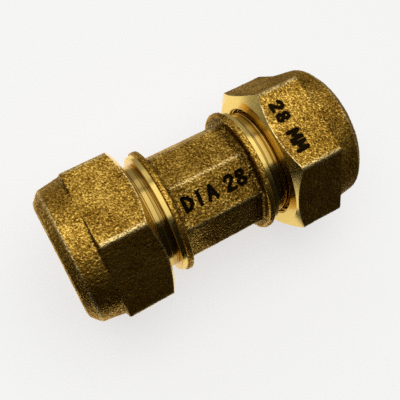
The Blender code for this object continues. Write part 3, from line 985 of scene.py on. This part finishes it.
THREAD_TREE = thread_tree()
THREAD_SINK = 0.25 * MM
RIDGE = {"Crest": 0.8 * MM, "Root": 2.0 * MM, "Round": 0.22 * MM, "Run Out": 0.3}
BODY_RIDGE = RIDGE | {
    "Core Radius": THREAD_CORE,
    "Depth": THREAD_CREST - THREAD_CORE,
    "Turns": (BODY_END - 0.9 * MM - THREAD_START) / THREAD_PITCH,
    "Start": THREAD_START + 0.5 * MM,
    "Sink": -THREAD_SINK,
}
NUT_RIDGE = RIDGE | {
    "Core Radius": NUT_CORE,
    "Depth": NUT_CREST - NUT_CORE,
    "Turns": (TAP_END - NUT_FACE - 0.8 * MM) / THREAD_PITCH,
    "Start": NUT_FACE + 0.6 * MM,
    "Sink": THREAD_SINK,
}
for side, end in SIDES:
    add_thread(f"{side}_body_thread", "body", end, BODY_RIDGE)
    add_thread(f"{side}_nut_thread", f"{side}_nut", end, NUT_RIDGE)

# %% [markdown]
# ## What the nut holds
#
# The gasket's long bevel is pressed into the body's seat, which squeezes it onto the tube, and the
# washer lets the nut turn without twisting it. Both are plain turned shapes, so each is a section wound
# round the axis. The notch in the gasket's heel is where the garter spring lies.


# %% Turned rings
RING_COLUMNS = 160


def plain_ring(name, corners, end, material, body_name, node):
    """A turned ring of one finish that replaces a plain one."""
    rings = section(corners, SMOOTH_STEP, 1)[:-1]
    obj = shell_object(name, rings, RING_COLUMNS, end)
    facing_out(obj.data)
    obj.data.materials.append(material)
    smooth_shade(obj.data)
    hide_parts(node)
    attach(obj, body_name)
    return obj


heel = gasket_high.x
notch = 2.0 * MM
bevel_end = heel - 2.7 * MM
nose_radius = SOCKET_RADIUS + 0.7 * MM
gasket_section = [
    (gasket_low.x, SOCKET_RADIUS, 0),
    (gasket_low.x, nose_radius, 0.2 * MM),
    (bevel_end, HELD_RADIUS, 0.3 * MM),
    (heel, HELD_RADIUS, 0.2 * MM),
    (heel, SOCKET_RADIUS + notch, 0.1 * MM),
    (heel - notch, SOCKET_RADIUS + notch, 0.2 * MM),
    (heel - notch, SOCKET_RADIUS, 0),
    (gasket_low.x, SOCKET_RADIUS, 0),
]
washer_section = [
    (washer_low.x, GRIP_RADIUS, 0),
    (washer_low.x, HELD_RADIUS, 0.15 * MM),
    (washer_high.x, HELD_RADIUS, 0.15 * MM),
    (washer_high.x, GRIP_RADIUS, 0),
    (washer_low.x, GRIP_RADIUS, 0),
]
for side, end in SIDES:
    held = f"{side}_held_pieces"
    plain_ring(
        f"{side}_gasket_ring", gasket_section, end, RUBBER, held, f"{side}_gasket"
    )
    plain_ring(
        f"{side}_washer_ring", washer_section, end, WASHER, held, f"{side}_slip_washer"
    )
    print(side, "gasket and washer each have", RING_COLUMNS, "columns")


# %% [markdown]
# ## The gripper band
#
# The band's cone slides down the nut's as the nut is tightened, and drives its teeth into the tube. A
# split lets it close. A Boolean could cut the gap, but it is simpler to wind the band only part of the
# way round, and to close each of its two ends with one face.

# %% The split gripper band
TOOTH_COUNT = 4
TOOTH_FACE = 0.3 * MM
TOOTH_DEPTH = 0.55 * MM
GAP_WIDTH = 2.6 * MM
GAP_PLACE = math.pi * 1.5
THIN_END_RADIUS = 15.64 * MM


def gripper_band(side, end):
    """The toothed band, open by a gap, with its end faces closed."""
    pitch = (gripper_high.x - gripper_low.x) / TOOTH_COUNT
    outline = []
    for tooth in range(TOOTH_COUNT):
        start = gripper_low.x + tooth * pitch
        outline += [(start, GRIP_RADIUS), (start + TOOTH_FACE, GRIP_RADIUS + TOOTH_DEPTH)]
    outline += [(gripper_high.x, GRIP_RADIUS), (gripper_high.x, THIN_END_RADIUS)]
    outline.append((gripper_low.x, HELD_RADIUS))
    shape = bmesh.new()
    rows = []
    gap = GAP_WIDTH / 2 / GRIP_RADIUS
    for column in range(RING_COLUMNS + 1):
        turn = GAP_PLACE + gap + (2 * math.pi - 2 * gap) * column / RING_COLUMNS
        spot = (math.cos(turn), math.sin(turn))
        rows.append([shape.verts.new((x, r * spot[0], r * spot[1])) for x, r in outline])
    for row, after in zip(rows, rows[1:]):
        for place in range(len(outline)):
            beyond = (place + 1) % len(outline)
            shape.faces.new((row[place], after[place], after[beyond], row[beyond]))
    shape.faces.new(rows[0])
    shape.faces.new(rows[-1])
    bmesh.ops.recalc_face_normals(shape, faces=shape.faces)
    mesh = bpy.data.meshes.new(f"{side}_gripper_ring")
    shape.to_mesh(mesh)
    shape.free()
    mesh.transform(Matrix.Diagonal((end, end, 1, 1)))
    mesh.materials.append(STEEL)
    smooth_shade(mesh)
    obj = new_object(mesh.name, mesh)
    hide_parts(f"{side}_gripper_band")
    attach(obj, f"{side}_held_pieces")
    print(obj.name, "has", len(mesh.polygons), "faces and", TOOTH_COUNT, "rows of teeth")
    return obj


for side, end in SIDES:
    gripper_band(side, end)


# %% [markdown]
# ## The garter spring
#
# A garter spring is a coil bent into a ring. Its path is a sum of two turnings, one slow round the
# fitting and one fast round the coil, so no drawing is needed: the tree takes a circle of many points,
# works out both turnings from each point's number, moves the point there, and sweeps a thin wire.


# %% The garter spring's tree
POINTS_PER_COIL = 10.0


def spring_tree():
    """A wire coiled round a ring in the plane across X."""
    tree = bpy.data.node_groups.new("garter_spring", "GeometryNodeTree")
    sizes = ("Ring Radius", "Coil Radius", "Wire Radius", "Place")
    given, result = tree_inputs(tree, sizes, ("Material",), ("Coils",))
    count = times(tree, given["Coils"], POINTS_PER_COIL)
    circle = add(
        tree, "GeometryNodeCurvePrimitiveCircle", {"Resolution": count, "Radius": 1.0}
    ).outputs["Curve"]
    share = math_node(tree, "DIVIDE", add(tree, "GeometryNodeInputIndex").outputs[0], count)
    ring_turn = times(tree, share, 2 * math.pi)
    coil_turn = times(tree, ring_turn, given["Coils"])
    outwards = times(tree, math_node(tree, "COSINE", coil_turn), given["Coil Radius"])
    out = plus(tree, given["Ring Radius"], outwards)
    sideways = times(tree, math_node(tree, "SINE", coil_turn), given["Coil Radius"])
    along = plus(tree, given["Place"], sideways)
    spot = add(
        tree,
        "ShaderNodeCombineXYZ",
        {
            "X": along,
            "Y": times(tree, out, math_node(tree, "COSINE", ring_turn)),
            "Z": times(tree, out, math_node(tree, "SINE", ring_turn)),
        },
    ).outputs[0]
    coiled = add(tree, "GeometryNodeSetPosition", {"Geometry": circle, "Position": spot}).outputs[0]
    wire = add(
        tree,
        "GeometryNodeCurvePrimitiveCircle",
        {"Resolution": 6, "Radius": given["Wire Radius"]},
    ).outputs["Curve"]
    swept = add(
        tree, "GeometryNodeCurveToMesh", {"Curve": coiled, "Profile Curve": wire}
    ).outputs["Mesh"]
    close_tree(tree, result, swept, given["Material"])
    return tree


# %% [markdown]
# A wire of six sides is enough for something a third of a millimetre thick, deep in the nut. The spring
# sits in the middle of the space that the frame gives it.

# %% Build both springs
SPRING_TREE = spring_tree()
SPRING_OUTER, SPRING_WIRE = 0.7 * MM, 0.16 * MM
spring_low, spring_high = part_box("right_garter_spring")
for side, end in SIDES:
    obj = new_object(f"{side}_spring_coil", bpy.data.meshes.new(f"{side}_spring_coil"))
    values = {
        "Ring Radius": SOCKET_RADIUS + 1.0 * MM,
        "Coil Radius": SPRING_OUTER - SPRING_WIRE,
        "Wire Radius": SPRING_WIRE,
        "Coils": 170,
        "Place": (spring_low.x + spring_high.x) / 2,
        "Material": BRONZE,
    }
    made_by_nodes(obj, SPRING_TREE, values)
    obj.data.transform(Matrix.Diagonal((end, end, 1, 1)))
    facing_out(obj.data)
    obj.data.shade_smooth()
    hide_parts(f"{side}_garter_spring")
    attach(obj, f"{side}_held_pieces")
    print(obj.name, "has", len(obj.data.polygons), "faces")

# %% [markdown]
# ## The floor
#
# The coupling lies on plain white card. The card shines a little of its own light, which keeps its
# shadows pale, as a room full of white walls would. Metal shows what is around it, so what it may see
# is chosen with care. The wide floor is for the camera only, and the brass sees a small card instead.

# %% The floor
floor_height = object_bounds()[0].z


def white_card(name, points, faces, white, shine):
    """White card that shines a little."""
    mesh = bpy.data.meshes.new(name)
    mesh.from_pydata(points, [], faces)
    obj = new_object(name, mesh)
    material, _, shader = new_material(name)
    shader.inputs["Base Color"].default_value = (white, white, white, 1.0)
    shader.inputs["Roughness"].default_value = 1.0
    shader.inputs["Specular IOR Level"].default_value = 0.0
    shader.inputs["Emission Color"].default_value = (1.0, 1.0, 1.0, 1.0)
    shader.inputs["Emission Strength"].default_value = shine
    mesh.materials.append(material)
    return obj


def unseen_by_brass(obj):
    """Leaves a card for the camera only, so that it lights nothing."""
    for ray in ("glossy", "diffuse", "transmission"):
        setattr(obj, f"visible_{ray}", False)


ROOM_REACH, WALL_TOP = 4, 5
square = [(-ROOM_REACH, -ROOM_REACH), (ROOM_REACH, -ROOM_REACH)]
square += [(ROOM_REACH, ROOM_REACH), (-ROOM_REACH, ROOM_REACH)]
foot = [(x, y, floor_height) for x, y in square]
top = [(x, y, WALL_TOP) for x, y in square]
sides = [(i, (i + 1) % 4, (i + 1) % 4 + 4, i + 4) for i in range(4)]
floor = white_card("floor", foot, [(0, 1, 2, 3)], 0.42, 0.63)
walls = white_card("walls", foot + top, sides, 0, 0.8)
walls.visible_shadow = False
card_height = floor_height - 0.2 * MM
card_outline = [(-0.12, -0.01), (-0.08, -0.02), (-0.065, -0.045), (0, -0.05), (0, -0.03)]
card_outline += [(0.06, -0.03), (0.06, 0.05), (0, 0.1), (-0.12, 0.1)]
card_points = [(x, y, card_height) for x, y in card_outline]
near_card = white_card("near_card", card_points, [tuple(range(len(card_points)))], 0.6, 0.85)
near_card.visible_camera = False
unseen_by_brass(floor)
unseen_by_brass(walls)
print("floor at", round(floor_height / MM, 2), "mm")


# %% [markdown]
# ## Light
#
# A wide softbox overhead makes the broad glow on the upper flats, and a weak one behind draws the far
# edges. The room is pale on the far side and dark on the near side. Metal turned towards that dark side
# has nothing bright to show, and that is what makes the lower flats nearly black.


# %% Lights
def soft_light(name, place, width, depth, watts):
    """A softbox that looks at the fitting."""
    light = bpy.data.lights.new(name, "AREA")
    light.shape = "RECTANGLE"
    light.size = width
    light.size_y = depth
    light.energy = watts
    obj = new_object(name, light)
    obj.location = place
    obj.rotation_euler = (-Vector(place)).to_track_quat("-Z", "Y").to_euler()
    print(name, "gives", watts, "W")


soft_light("key_softbox", (0, -0.05, 0.95), 1.6, 1.25, 7.0)
soft_light("back_softbox", (-0.1, 0.95, 0.75), 1.2, 0.5, 0.9)
world = bpy.data.worlds.new("studio")
bpy.context.scene.world = world
world.use_nodes = True
room = world.node_tree
looking = add(room, "ShaderNodeTexCoord").outputs["Generated"]
axes = add(room, "ShaderNodeSeparateXYZ", {0: looking}).outputs
towards = plus(room, axes["Y"], times(room, axes["X"], 0.4))
glow = rescaled(room, towards, -0.6, 0.6, 0.01, 0.4)
room.links.new(glow, room.nodes["Background"].inputs["Strength"])
room.nodes["Background"].inputs["Color"].default_value = (1.0, 0.97, 0.92, 1.0)
bpy.context.scene.view_settings.view_transform = "Standard"
bpy.context.scene.cycles.use_denoising = False

# %% [markdown]
# ## The camera
#
# The camera looks steeply down on the coupling from a hand's length away, which makes the near nut
# plainly larger than the far one. It is set by the directions of its own right and back, and the back
# is squared to the right, so that the view isn't skewed.

# %% The camera
camera = new_object("camera", bpy.data.cameras.new("camera"))
camera.data.lens = 55.37
camera.data.sensor_width = 36
camera.data.clip_start = 0.01
right = Vector((0.865, -0.499, 0.055)).normalized()
back = Vector((-0.240, -0.314, 0.919))
back = (back - back.dot(right) * right).normalized()
turned = Matrix((right, back.cross(right), back)).transposed().to_4x4()
camera.matrix_world = Matrix.Translation((-48.6 * MM, -64.4 * MM, 180.0 * MM)) @ turned
bpy.context.scene.camera = camera
print("camera stands", round(camera.matrix_world.translation.length, 3), "m from the middle")
